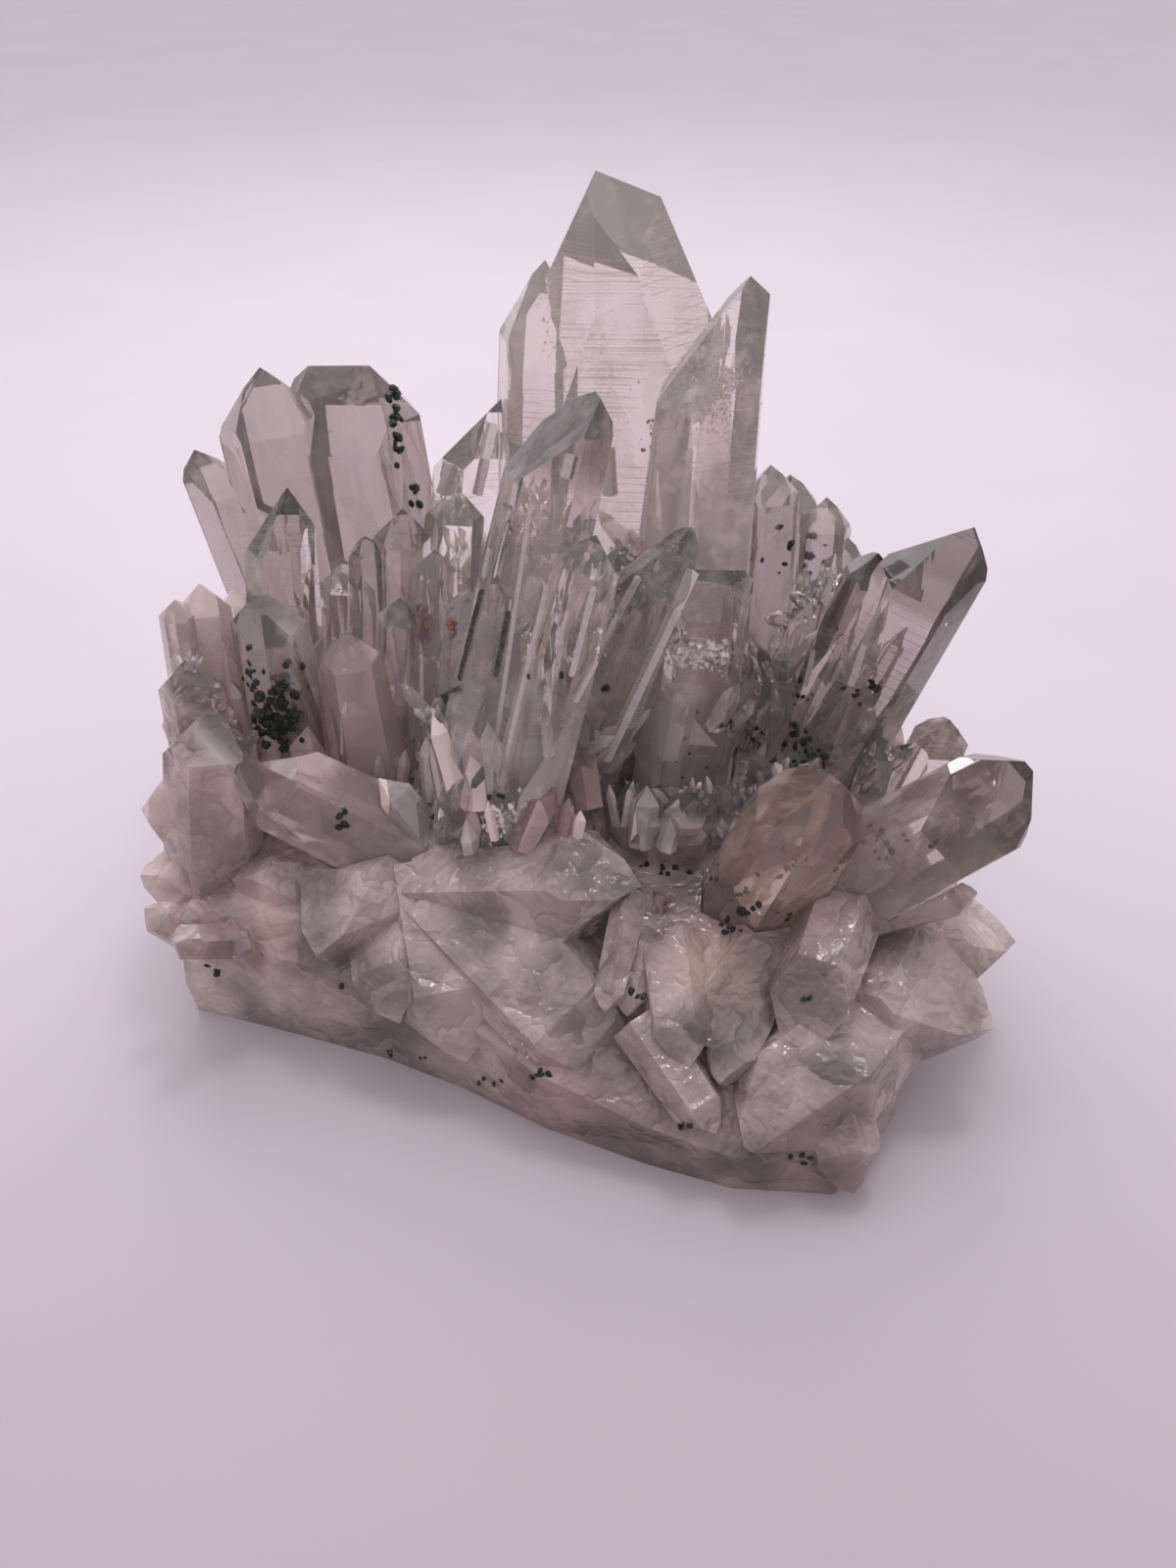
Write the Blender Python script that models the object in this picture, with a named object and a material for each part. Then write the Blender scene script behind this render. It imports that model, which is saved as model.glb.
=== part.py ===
"""A quartz crystal cluster: clear points standing in a milky root mass that rests on its broken flat foot.

Design frame: millimetres, +X to the viewer's right, +Y away from the viewer, +Z up, foot at Z = 0.
The model itself is in metres, and is set down with the middle of its box over the origin.
"""

import math
import random
from typing import NamedTuple

import bmesh
import bpy
from mathutils import Matrix, Vector
from mathutils.bvhtree import BVHTree

MM = 0.001

# End faces of quartz lean this far from the crystal's length, and the sides narrow a little towards the tip
END_TILT = 52
SIDE_TILT = 88

# A crystal is cut out of a block this many times as long as itself
STONE_SHARE = 5

# How the points sit in the root mass
ROOT_DEPTH = 7.0
SMALL_ROOT_DEPTH = 4.0
SEAT_GAP = 0.3

# The root mass: for each corner of its foot, where it is, how high the broken wall stands there, and how far
# the shoulder above the wall runs inwards
FOOT = [
    (-62, -12, 20, 5), (-46, -17, 17, 8), (-31, -22, 16, 9), (-18, -28, 15, 11), (-6, -35, 12, 14),
    (8, -41, 9, 17), (20, -45, 8, 18), (34, -46, 8, 17), (43, -35, 10, 14), (50, -18, 14, 11),
    (54, 6, 17, 8), (50, 30, 18, 8), (37, 47, 18, 8), (14, 55, 19, 8), (-12, 57, 20, 8),
    (-40, 55, 20, 8), (-58, 42, 22, 7), (-65, 16, 22, 5),
]
MASS_TOP = 26.0
MASS_CROWN = 1.0
MASS_MIDDLE = (-4.0, 5.0)
# How high on the wall each ring of corners lies, and how far in over the shoulder, as shares of them
WALL_RINGS = (0.0, 0.35, 1.0)
SHOULDER_RINGS = (0.5, 1.0)
SHOULDER_EXTRA = 12.0
MASS_ROUGHNESS = 0.9
MASS_SEED = 4

# Points scattered over the rest of the root mass: middling ones behind the large ones, and small ones everywhere
MIDDLING_SEED = 5
MIDDLING_POINTS = 26
MIDDLING_WIDTH = (5.0, 8.0)
MIDDLING_LENGTH = (2.6, 5.0)
MIDDLING_FRONT = 24.0
SMALL_SEED = 11
SMALL_POINTS = 92
SMALL_WIDTH = (3.0, 6.0)
SMALL_LENGTH = (1.2, 2.8)
SCATTER_SIDES = (-64.0, 58.0)
SCATTER_CLEARANCE = 0.6
# Scattered points are aimed from a height inside the mass, round its back and sides, and above its lower wall
SCATTER_HEIGHT = 8.0
SCATTER_AROUND = (-35.0, 215.0)
SCATTER_CLIMB = (0.12, 1.0)
SCATTER_TRIES = 20
# How a scattered point's stance mixes the wall's own direction, the way outwards, the way up and chance
STANCE_NORMAL = 0.35
STANCE_AWAY = 0.3
STANCE_UP = 0.8
STANCE_CHANCE = 0.3
# Two crystals are apart when their lines are this share of their joint width away from each other
APART = 0.58
# Only this share of a large crystal's width is kept clear, because small ones may grow against its foot
BLOCK_SHARE = 0.7
MIDDLING_SHARE = 0.2
TALLEST_WIDTH = 19.0

# How finely the joined solids are tidied: seams are welded up to this distance, and faces up to this many
# degrees from flat are merged
WELD = 0.02
FLAT_ANGLE = 0.2


class Point(NamedTuple):
    """One crystal.

    root and tip lie on a line along its length, and width is across its sides.
    flat is how thick it is from front to back beside its width, and twist turns its front face to the right.
    shift is how far its body stands from the line, in widths, towards the viewer and to the right.
    rise lifts each end face off the tip, in widths, from the front face round to the right.
    """

    root: tuple
    tip: tuple
    width: float
    flat: float = 0.9
    twist: float = 0.0
    shift: tuple = (0.0, 0.0)
    rise: tuple = (0.0, 0.15, 0.0, 0.15, 0.0, 0.15)
    end_tilt: float = END_TILT
    side_tilt: float = SIDE_TILT


# The tallest point has its own faces: how far round to the right each one looks, how far it leans from the
# crystal's length, and how far outside the tip it passes
TALLEST_ROOT = (2, 34, 28)
TALLEST_TIP = (1, 34, 113)
TALLEST_FACES = [
    (7, 57, 0), (160, 57, 0), (-95, 63, 0), (-17, 75, 1.8), (38, 71, 4.8), (-40, 78, 1.6), (110, 67, 6),
    (-10, 88, 6), (48, 88, 13.5), (110, 88, 14.5), (170, 88, 9), (-130, 88, 7), (-70, 88, 6),
]

# Points that stand free of each other are parts of their own, and those that grew into each other share one
POINT_GROUPS = {
    "tallest_points": [
        Point((-7, 36, 28), (-6, 36, 101), 11.5, 0.9, -15, (0.1, 0.05), end_tilt=62, side_tilt=87),
    ],
    "right_tall_point": [
        Point((18, 22, 28), (21, 20, 103.5), 12, 0.9, 20, (0.1, -0.38), (0, 0.2, 0, 0.2, 0, 0.1), 56, 87),
    ],
    "capped_points": [
        Point((-14, -1, 28), (1, 3, 93.5), 10.5, 0.8, -15, (0.1, -0.28), (0.5, 0.1, 0.1, 0.3, 0.4, 0)),
        Point((-19, 2, 28), (-11, 5, 70), 6.5, 0.9, 10),
        Point((-21, 6, 28), (-17, 10, 62), 5, 0.9, 0),
    ],
    "centre_long_point": [
        Point((-12, -6, 28), (1, -7, 80.5), 7, 0.9, -15),
    ],
    "slanted_point": [
        Point((-1, 9, 28), (13.5, 2, 77), 8.5, 0.85, 25, (0.2, -0.42)),
    ],
    "broad_point": [
        Point((15, 9, 26), (18, 7, 68), 10.5, 0.8, 5, (0, -0.08), (0, 0.4, 0.4, 0, 0.4, 0.4)),
    ],
    "right_leaning_points": [
        Point((38, 13, 28), (52.5, 8, 74), 11.5, 0.85, -20, (0.2, -0.17)),
        Point((34, 17, 28), (41, 12, 68), 7, 0.9, 10),
    ],
    "right_low_point": [
        Point((36, -12, 26), (55, -16, 46), 14, 0.9, -15, (0, 0), (0, 0.5, 0.6, 0.7, 0.6, 0.5)),
    ],
    "tan_point": [
        Point((24, -13, 23), (31.5, -20, 53), 13.5, 0.85, 25),
    ],
    "small_right_point": [
        Point((51, 9, 24), (54, 6, 43.5), 8, 0.9, 5),
    ],
    "back_left_points": [
        Point((-46, 47, 26), (-51.5, 48, 81.5), 15, 0.9, 10),
        Point((-36, 48, 26), (-39.5, 50, 81), 19, 0.9, -10, (0, 0.05), (0, 0.3, 0.3, 0, 0.5, 0.3)),
        Point((-54, 45, 26), (-65, 50, 67), 13, 0.9, 20, (0, 0.3)),
    ],
    "back_right_points": [
        Point((30, 42, 26), (29.5, 44, 67), 9, 0.9, 10),
        Point((34, 44, 26), (33.5, 48, 63.5), 9, 0.9, 25),
        Point((38, 43, 26), (40, 48, 59.5), 8.5, 0.9, 5),
        Point((40, 40, 26), (43.5, 46, 53.5), 9, 0.9, 15),
        Point((43, 34, 26), (47, 42, 51.5), 8.5, 0.9, 35),
    ],
    "window_points": [
        Point((-19, 32, 28), (-12.5, 33, 82.5), 12, 0.9, 15, (0, -0.2)),
        Point((-24, 27, 28), (-19.5, 26, 71.5), 7.5, 0.9, 5),
        Point((-31, 27, 28), (-27.5, 24, 69), 8, 0.9, 10),
        Point((-36, 25, 28), (-33, 22, 65.5), 4.5, 0.9, 25),
        Point((-40, 27, 28), (-37, 24, 60.5), 7, 0.9, 5),
        Point((-45, 27, 28), (-41.5, 24, 57), 5.5, 0.9, 20),
        Point((-27, 21, 28), (-22.5, 19, 65), 6, 0.9, 10),
        Point((-31, 19, 28), (-28, 17, 58), 6, 0.9, -5),
        Point((-23, 18, 28), (-17.5, 16, 60), 5, 0.9, 20),
    ],
    "left_upright_point": [
        Point((-48, 20, 28), (-41.5, 14, 77), 8, 0.9, 10, (0, -0.15), end_tilt=64),
    ],
    "speckled_point": [
        Point((-46, 9, 28), (-45.5, 6, 64), 9, 0.9, 10, (0, 0.05), (0, 0.3, 0.2, 0.1, 0.2, 0.3)),
    ],
    "peach_point": [
        Point((-34, 9, 28), (-34.5, 6, 59), 8, 0.9, 15),
    ],
    "lying_point": [
        Point((-26, -2, 24), (-50.5, -4, 42.5), 13, 0.85, 10),
    ],
    "left_rim_points": [
        Point((-59, 17, 26), (-56.5, 14, 62), 6.5, 0.9, 15),
        Point((-62, 15, 26), (-59.5, 11, 61), 4.5, 0.9, 5),
        Point((-56, 22, 26), (-54, 21, 57), 5.5, 0.9, 25),
    ],
}

# Blocky milky points grown into the root mass
MASS_POINTS = [
    Point((-19, -8, 22), (7.5, -17, 31), 16, 0.95, 20),
    Point((-17, -11, 20), (5.5, -34, 11), 18, 0.85, 30),
    Point((-22, -9, 21), (-17.5, -30.5, 9), 15, 0.9, 10),
    Point((-31, -6, 19), (-27, -27, 13.5), 12, 0.85, 25),
    Point((-11, -12, 21), (-7.5, -33, 13.5), 12, 0.8, 35),
    Point((-32, -5, 20), (-39, -21, 21), 18, 0.85, 15),
    Point((-40, -5, 20), (-53, -9, 25), 9, 0.9, 20),
    Point((-58, -2, 18), (-67, -8, 25), 8, 0.9, 5),
    Point((-58, -2, 20), (-54, 0, 50), 11, 0.9, 20),
    Point((-60, 3, 20), (-63, -3, 38), 8, 0.9, 0),
    Point((-59, 8, 20), (-57, 3, 56), 7.5, 0.9, 15),
    Point((37, -16, 12), (57, -30, 16), 21, 0.9, 15),
    Point((46, -12, 14), (65, -12, 15), 17, 0.9, 5),
    Point((34, -41, 8), (36, -48, 3), 9, 0.9, 25),
    Point((38, -13, 28), (29.8, -32.5, 24), 9.5, 0.95, 0, (0, 0), (0, 1.2, 1.2, 1.2, 1.2, 1.2), 40),
    Point((25, -14, 22), (21.8, -30, 21.5), 11, 0.9, -20, (0, 0), (0, 0.9, 1.2, 1.2, 1.2, 0.5)),
    Point((40, -24, 12), (26, -44, 14), 16, 0.8, -15, (0, 0), (0, 0.4, 0.6, 0.6, 0.4, 0.1)),
    Point((12, -24, 22), (13.5, -38, 16.5), 8.5, 0.9, 20),
    Point((9.5, -33, 16), (17.3, -43.5, 10.3), 6.5, 0.9, 10),
    Point((22.5, -30, 17), (17.7, -39.5, 15.5), 6.5, 0.9, 30),
    Point((7.6, -19, 26), (5.4, -31, 19.5), 4, 0.9, 10),
    Point((5.5, -20, 27), (2.4, -32, 21.5), 4, 0.9, 30),
    Point((8, -25, 12), (8.5, -21, 28), 5, 0.9, 10),
    Point((13, -26, 12), (13, -22, 28), 5.5, 0.9, 25),
    Point((18, -27, 12), (17.5, -23, 26), 5, 0.9, 0),
    Point((14, -18, 18), (6, -22, 29), 6, 0.9, 10),
    Point((-1, 1, 26), (-2.5, -2, 51.5), 5.2, 0.9, 15),
    Point((-7, -3, 26), (-4, -6, 40.5), 5.3, 0.9, 0),
    Point((-28, 0, 26), (-32, -2, 39.5), 7.5, 0.9, 10),
    Point((-21, 9, 26), (-23, 4, 47), 3.8, 0.9, 5),
    Point((43, 6, 26), (43.5, 2, 43), 4.5, 0.9, 20),
    Point((29, 14, 26), (28.5, 9, 52), 4.2, 0.9, 10),
    Point((3, 18, 26), (5, 14, 68), 5, 0.9, 30),
    Point((35, -18, 24), (54, -20, 32.5), 4.5, 0.9, 10),
    Point((-8, 18, 26), (-7, 17, 58), 6, 0.9, 10),
]


def point_axes(root, tip, twist=0.0):
    """The point's own directions: across towards the viewer, across to the right, and up its length."""
    up = (Vector(tip) - Vector(root)).normalized()
    facing = Vector((0, -1, 0)) if abs(up.z) > 0.6 else Vector((0, 0, 1))
    front = (facing - facing.dot(up) * up).normalized()
    front.rotate(Matrix.Rotation(math.radians(twist), 3, up))
    return front, up.cross(front), up


def point_faces(point):
    """Each face of a regular point: which way round it looks, how far it leans, and how far off the tip it is."""
    faces = []
    for k in range(6):
        around = math.radians(60 * k)
        thickness = point.flat if k % 3 == 0 else 1.0
        offset = point.shift[0] * math.cos(around) + point.shift[1] * math.sin(around)
        faces.append((60 * k, point.side_tilt, point.width * (thickness / 2 + offset)))
        lifted = point.rise[k] * point.width * math.cos(math.radians(point.end_tilt))
        faces.append((60 * k, point.end_tilt, lifted))
    return faces


def cut_face(bm, on_plane, outward):
    """Cuts the solid along a plane, drops what is outside and closes the cut with one flat face."""
    everything = bm.verts[:] + bm.edges[:] + bm.faces[:]
    cut = bmesh.ops.bisect_plane(bm, geom=everything, plane_co=on_plane, plane_no=outward, clear_outer=True)
    rim = [item for item in cut["geom_cut"] if isinstance(item, bmesh.types.BMEdge)]
    if rim:
        bmesh.ops.contextual_create(bm, geom=rim)


def faceted_mesh(root, tip, twist, faces, root_depth, grow=0.0):
    """A crystal in millimetres cut out by its faces, with a flat root and every face moved outwards by grow."""
    front, side, up = point_axes(root, tip, twist)
    length = (Vector(tip) - Vector(root)).length
    bm = bmesh.new()
    bmesh.ops.create_cube(bm, size=STONE_SHARE * (length + root_depth), matrix=Matrix.Translation(root))
    for around, tilt, offset in faces:
        turn = math.radians(around)
        lean = math.radians(tilt)
        across = front * math.cos(turn) + side * math.sin(turn)
        outward = across * math.sin(lean) + up * math.cos(lean)
        cut_face(bm, Vector(tip) + outward * (offset + grow), outward)
    cut_face(bm, Vector(root) - up * (root_depth + grow), -up)
    bmesh.ops.dissolve_degenerate(bm, dist=0.5 * WELD, edges=bm.edges)
    bmesh.ops.recalc_face_normals(bm, faces=bm.faces)
    mesh = bpy.data.meshes.new("crystal")
    bm.to_mesh(mesh)
    bm.free()
    return mesh


def point_mesh(point, root_depth=ROOT_DEPTH, grow=0.0):
    """A regular quartz point: six sides and six end faces."""
    return faceted_mesh(point.root, point.tip, point.twist, point_faces(point), root_depth, grow)


def tallest_mesh(root_depth=ROOT_DEPTH, grow=0.0):
    """The tallest point, with its broad slanting faces."""
    return faceted_mesh(TALLEST_ROOT, TALLEST_TIP, 0.0, TALLEST_FACES, root_depth, grow)


def mass_mesh():
    """The root mass: a broken wall all round, a shoulder running in from it and a low uneven top."""
    dice = random.Random(MASS_SEED)
    middle = Vector((*MASS_MIDDLE, 0))
    bm = bmesh.new()
    rings = []
    for up_wall, over in [(share, 0.0) for share in WALL_RINGS] + [(1.0, share) for share in SHOULDER_RINGS]:
        ring = []
        for x, y, wall, shoulder in FOOT:
            corner = Vector((x, y, 0))
            inwards = (middle - corner).normalized()
            climb = up_wall * wall + over * (MASS_TOP - wall)
            spot = corner + inwards * over * (shoulder + SHOULDER_EXTRA) + Vector((0, 0, climb))
            if up_wall > 0.0:
                spot += Vector([dice.uniform(-MASS_ROUGHNESS, MASS_ROUGHNESS) for _ in range(3)])
            ring.append(bm.verts.new(spot))
        rings.append(ring)
    for lower, upper in zip(rings, rings[1:]):
        for i in range(len(FOOT)):
            j = (i + 1) % len(FOOT)
            bm.faces.new((lower[i], lower[j], upper[j]))
            bm.faces.new((lower[i], upper[j], upper[i]))
    bm.faces.new(list(reversed(rings[0])))
    crown = bm.verts.new(middle + Vector((0, 0, MASS_TOP + MASS_CROWN)))
    for i in range(len(FOOT)):
        bm.faces.new((rings[-1][i], rings[-1][(i + 1) % len(FOOT)], crown))
    bmesh.ops.recalc_face_normals(bm, faces=bm.faces)
    mesh = bpy.data.meshes.new("mass")
    bm.to_mesh(mesh)
    bm.free()
    return mesh


def nearest_approach(point, other_root, other_tip):
    """The least distance between a small point's line and another crystal's line."""
    line = Vector(other_tip) - Vector(other_root)
    least = math.inf
    for step in range(6):
        spot = Vector(point.root).lerp(Vector(point.tip), step / 5)
        along = (spot - Vector(other_root)).dot(line) / line.length_squared
        nearest = Vector(other_root) + line * min(max(along, -0.1), 1.0)
        least = min(least, (spot - nearest).length)
    return least


def scattered_points(mass, seed, count, widths, lengths, front, taken):
    """Points scattered over the root mass behind a line, each standing out from it and clear of those taken."""
    dice = random.Random(seed)
    surface = BVHTree.FromPolygons([v.co.copy() for v in mass.vertices], [list(f.vertices) for f in mass.polygons])
    middle = Vector((*MASS_MIDDLE, SCATTER_HEIGHT))
    chosen = []
    for _ in range(count * SCATTER_TRIES):
        if len(chosen) == count:
            break
        around = math.radians(dice.uniform(*SCATTER_AROUND))
        height = math.asin(dice.uniform(*SCATTER_CLIMB))
        away = Vector((math.cos(around) * math.cos(height), math.sin(around) * math.cos(height), math.sin(height)))
        spot, normal, _, _ = surface.ray_cast(middle + away * 200, -away)
        width = dice.uniform(*widths)
        sway = Vector([dice.uniform(-STANCE_CHANCE, STANCE_CHANCE) for _ in range(3)])
        stance = (normal * STANCE_NORMAL + away * STANCE_AWAY + Vector((0, 0, STANCE_UP)) + sway).normalized()
        tip = spot + stance * width * dice.uniform(*lengths)
        point = Point(tuple(spot - stance), tuple(tip), width, dice.uniform(0.75, 1.0), dice.uniform(0, 60))
        if spot.y < front or not SCATTER_SIDES[0] < tip.x < SCATTER_SIDES[1]:
            continue
        if any(nearest_approach(point, a, b) < APART * (width + other) + SCATTER_CLEARANCE for a, b, other in taken):
            continue
        chosen.append(point)
    return chosen


def points_on_mass(mass):
    """Everything that grew out of the root mass itself."""
    large = [(TALLEST_ROOT, TALLEST_TIP, TALLEST_WIDTH)]
    for group in POINT_GROUPS.values():
        large += [(point.root, point.tip, point.width) for point in group]
    blocks = [(point.root, point.tip, BLOCK_SHARE * point.width) for point in MASS_POINTS]
    middling = scattered_points(
        mass, MIDDLING_SEED, MIDDLING_POINTS, MIDDLING_WIDTH, MIDDLING_LENGTH, MIDDLING_FRONT, large + blocks)
    near = [(point.root, point.tip, MIDDLING_SHARE * point.width) for point in middling]
    small = scattered_points(
        mass, SMALL_SEED, SMALL_POINTS, SMALL_WIDTH, SMALL_LENGTH, -math.inf, large + blocks + near)
    return MASS_POINTS + middling + small


def solid(name, mesh):
    """A mesh in millimetres as an object in the scene."""
    body = bpy.data.objects.new(name, mesh)
    bpy.context.scene.collection.objects.link(body)
    return body


def combine(body, meshes, operation):
    """Joins other solids to the body, or cuts them out of it."""
    tools = bpy.data.collections.new("tools")
    bpy.context.scene.collection.children.link(tools)
    for mesh in meshes:
        tool = bpy.data.objects.new("tool", mesh)
        tool.hide_render = True
        tool.display_type = "WIRE"
        tools.objects.link(tool)
    change = body.modifiers.new("combine", "BOOLEAN")
    change.operand_type = "COLLECTION"
    change.collection = tools
    change.operation = operation
    change.solver = "EXACT"
    bpy.context.view_layer.update()
    body.data = bpy.data.meshes.new_from_object(body.evaluated_get(bpy.context.evaluated_depsgraph_get()))
    body.modifiers.clear()
    for tool in list(tools.objects):
        bpy.data.objects.remove(tool)
    bpy.data.collections.remove(tools)


def tidy(body):
    """Takes off whatever hangs below the foot, welds the seams left by joining, and keeps the one main solid."""
    bm = bmesh.new()
    bm.from_mesh(body.data)
    if min(vertex.co.z for vertex in bm.verts) < 0:
        cut_face(bm, Vector((0, 0, 0)), Vector((0, 0, -1)))
    bmesh.ops.remove_doubles(bm, verts=bm.verts, dist=WELD)
    bmesh.ops.dissolve_degenerate(bm, dist=WELD, edges=bm.edges)
    bmesh.ops.delete(bm, geom=[edge for edge in bm.edges if not edge.link_faces], context="EDGES")
    bmesh.ops.triangulate(bm, faces=bm.faces)
    unseen = set(bm.faces)
    islands = []
    while unseen:
        island = {unseen.pop()}
        edge_of_island = list(island)
        while edge_of_island:
            face = edge_of_island.pop()
            for edge in face.edges:
                for other in edge.link_faces:
                    if other in unseen:
                        unseen.remove(other)
                        island.add(other)
                        edge_of_island.append(other)
        islands.append(island)
    islands.sort(key=lambda island: sum(face.calc_area() for face in island), reverse=True)
    extra = [face for island in islands[1:] for face in island]
    bmesh.ops.delete(bm, geom=extra, context="FACES")
    bmesh.ops.dissolve_limit(bm, angle_limit=math.radians(FLAT_ANGLE), verts=bm.verts, edges=bm.edges)
    bmesh.ops.recalc_face_normals(bm, faces=bm.faces)
    bm.to_mesh(body.data)
    bm.free()


def quartz_material(name, colour, see_through, roughness):
    """A plain glassy material for one kind of quartz."""
    material = bpy.data.materials.new(name)
    material.use_nodes = True
    shader = material.node_tree.nodes["Principled BSDF"]
    shader.inputs["Base Color"].default_value = (*colour, 1.0)
    shader.inputs["Roughness"].default_value = roughness
    shader.inputs["IOR"].default_value = 1.544
    shader.inputs["Transmission Weight"].default_value = see_through
    return material


def build_cluster():
    """Builds every part in millimetres, then sets the cluster down in metres."""
    for old in list(bpy.data.objects):
        bpy.data.objects.remove(old)
    clear = quartz_material("clear_quartz", (0.96, 0.94, 0.94), 1.0, 0.03)
    tan = quartz_material("tan_quartz", (0.86, 0.74, 0.64), 0.9, 0.05)
    milky = quartz_material("milky_quartz", (0.80, 0.74, 0.73), 0.45, 0.25)

    parts = []
    seats = []
    for name, group in POINT_GROUPS.items():
        shapes = [point_mesh(point) for point in group]
        grown = [point_mesh(point, grow=SEAT_GAP) for point in group]
        if name == "tallest_points":
            shapes.insert(0, tallest_mesh())
            grown.insert(0, tallest_mesh(grow=SEAT_GAP))
        body = solid(name, shapes[0])
        if len(shapes) > 1:
            combine(body, shapes[1:], "UNION")
        if seats:
            combine(body, [mesh.copy() for mesh in seats], "DIFFERENCE")
        tidy(body)
        seats += grown
        body.data.materials.append(tan if name == "tan_point" else clear)
        parts.append(body)

    mass = solid("root_mass", mass_mesh())
    combine(mass, [point_mesh(point, SMALL_ROOT_DEPTH) for point in points_on_mass(mass.data)], "UNION")
    combine(mass, seats, "DIFFERENCE")
    tidy(mass)
    mass.data.materials.append(milky)
    parts.append(mass)

    corners = [vertex.co for body in parts for vertex in body.data.vertices]
    middle_x = (min(c.x for c in corners) + max(c.x for c in corners)) / 2
    middle_y = (min(c.y for c in corners) + max(c.y for c in corners)) / 2
    settle = Matrix.Scale(MM, 4) @ Matrix.Translation((-middle_x, -middle_y, 0))
    for body in parts:
        body.data.transform(settle)
    print("cluster set down from", round(middle_x, 3), round(middle_y, 3))


build_cluster()
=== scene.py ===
"""The looks of the quartz crystal cluster.

Clear and milky quartz, what has grown into it and onto it, a plain floor, light and a camera.
"""

import math
import random
from typing import NamedTuple

import bmesh
import bpy
from mathutils import Matrix, Vector
from mathutils.bvhtree import BVHTree


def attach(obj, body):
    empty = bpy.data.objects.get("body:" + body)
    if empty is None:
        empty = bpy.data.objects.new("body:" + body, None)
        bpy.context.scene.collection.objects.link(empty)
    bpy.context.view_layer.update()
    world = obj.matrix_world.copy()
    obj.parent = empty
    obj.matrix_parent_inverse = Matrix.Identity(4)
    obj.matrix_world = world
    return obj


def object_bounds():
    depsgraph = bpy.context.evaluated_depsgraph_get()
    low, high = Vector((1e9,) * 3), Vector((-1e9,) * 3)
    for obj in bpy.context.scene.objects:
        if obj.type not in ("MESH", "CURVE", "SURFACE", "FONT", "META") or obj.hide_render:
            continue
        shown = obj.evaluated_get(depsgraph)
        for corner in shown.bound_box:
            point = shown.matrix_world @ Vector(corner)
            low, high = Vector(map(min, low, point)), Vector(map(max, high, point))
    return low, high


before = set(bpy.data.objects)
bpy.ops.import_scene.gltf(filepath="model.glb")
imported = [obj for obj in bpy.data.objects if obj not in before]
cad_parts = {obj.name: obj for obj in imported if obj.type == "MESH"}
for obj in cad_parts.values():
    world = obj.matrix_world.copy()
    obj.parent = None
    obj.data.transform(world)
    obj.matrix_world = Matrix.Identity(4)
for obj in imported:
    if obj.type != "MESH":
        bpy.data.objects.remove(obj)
cad_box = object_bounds()

MM = 0.001

UP = Vector((0, 0, 1))

# Where the picture is taken from: metres, degrees below the horizon, the lens and the sensor's longer side in
# millimetres, and how near the camera sees, in metres
CAMERA_PLACE = (0.0012, -0.1632, 0.1530)
CAMERA_PITCH = 38.0
CAMERA_LENS = 29.25
SENSOR_SIZE = 36.0
CAMERA_NEAR = 0.005

# The picture in pixels, and how wide a pixel is on the middle crystals, in millimetres
PICTURE_WIDTH = 1200
PICTURE_HEIGHT = 1600
PIXEL_WIDTH = 0.14

# In metres: how far behind one face the next is looked for, and how far small crystals stay inside the CAD
# model's box
STEP_INSIDE = 0.0002
BOX_MARGIN = 0.0005

# How deep a small crystal's foot is sunk, as a share of its length, and how far its middle line keeps from
# other crystals, as a share of its width
SUNK = 0.2
ROOM = 0.45

# Colours, as linear red, green and blue
GLASSY = (0.985, 0.945, 0.925)
MILK = (0.66, 0.55, 0.525)
MILK_SHADE = (0.57, 0.47, 0.445)
# Painted shade at the root mass's foot
FOOT_SHADE = (0.38, 0.31, 0.295)
MILK_BRIGHT = (0.82, 0.71, 0.68)
PALE = (0.97, 0.83, 0.80)
HAZE = (0.86, 0.73, 0.69)
SMOKE = (0.30, 0.20, 0.21)
# Painted shade on the ends of crystals
PAINTED_END_SHADE = (0.29, 0.235, 0.22)
TAN = (0.62, 0.50, 0.41)
PEACH = (0.70, 0.48, 0.38)
PINK = (0.68, 0.50, 0.50)
ROSY = (0.82, 0.62, 0.57)
# Painted shade on the root mass, in a hollow and low at its front
PAINTED_SHADE = (0.36, 0.27, 0.27)
SOOT = (0.010, 0.014, 0.011)
RUST = (0.30, 0.07, 0.04)
AMBER = (0.42, 0.19, 0.08)
FROST = (0.84, 0.77, 0.76)
# White of real fractures, and of painted glints
FRACTURE_AND_GLINT = (0.97, 0.93, 0.93)
# Painted highlights
PAINTED_HIGHLIGHT = (0.95, 0.88, 0.87)
# Painted shadows and their edges
PAINTED_SHADOW = (0.05, 0.04, 0.04)
PAINTED_SHADOW_EDGE = (0.12, 0.10, 0.10)
FLOOR = (0.61, 0.56, 0.605)
# Painted shade on the floor, darker towards the front
FLOOR_FRONT_SHADE = (0.46, 0.405, 0.445)
ROOM_FRONT = (0.38, 0.345, 0.35)
ROOM_BACK = (1.12, 1.03, 1.10)
ROOM_TOP = (0.90, 0.83, 0.875)
CEILING_LIGHT = (1.0, 0.96, 0.99)
LAMP_LIGHT = (1.0, 0.97, 0.99)

QUARTZ_IOR = 1.544

# A face of a clear crystal has growth lines while the part of its direction that lies along the crystal is
# below the first number, and none from the second on, as on the end faces
SIDE_LEAN = (0.42, 0.5)

# Growth lines, in two sets: how many millimetres apart, how thick as a share of that, and how strong
GROWTH_LINES = ((1.4, 0.1, 1.0), (0.5, 0.2, 0.5))

# What the growth lines add to haze and to roughness, and their tint as a share of the crystal's
LINE_HAZE = 0.35
LINE_ROUGHNESS = 0.25
LINE_SHADE = 0.45

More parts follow.
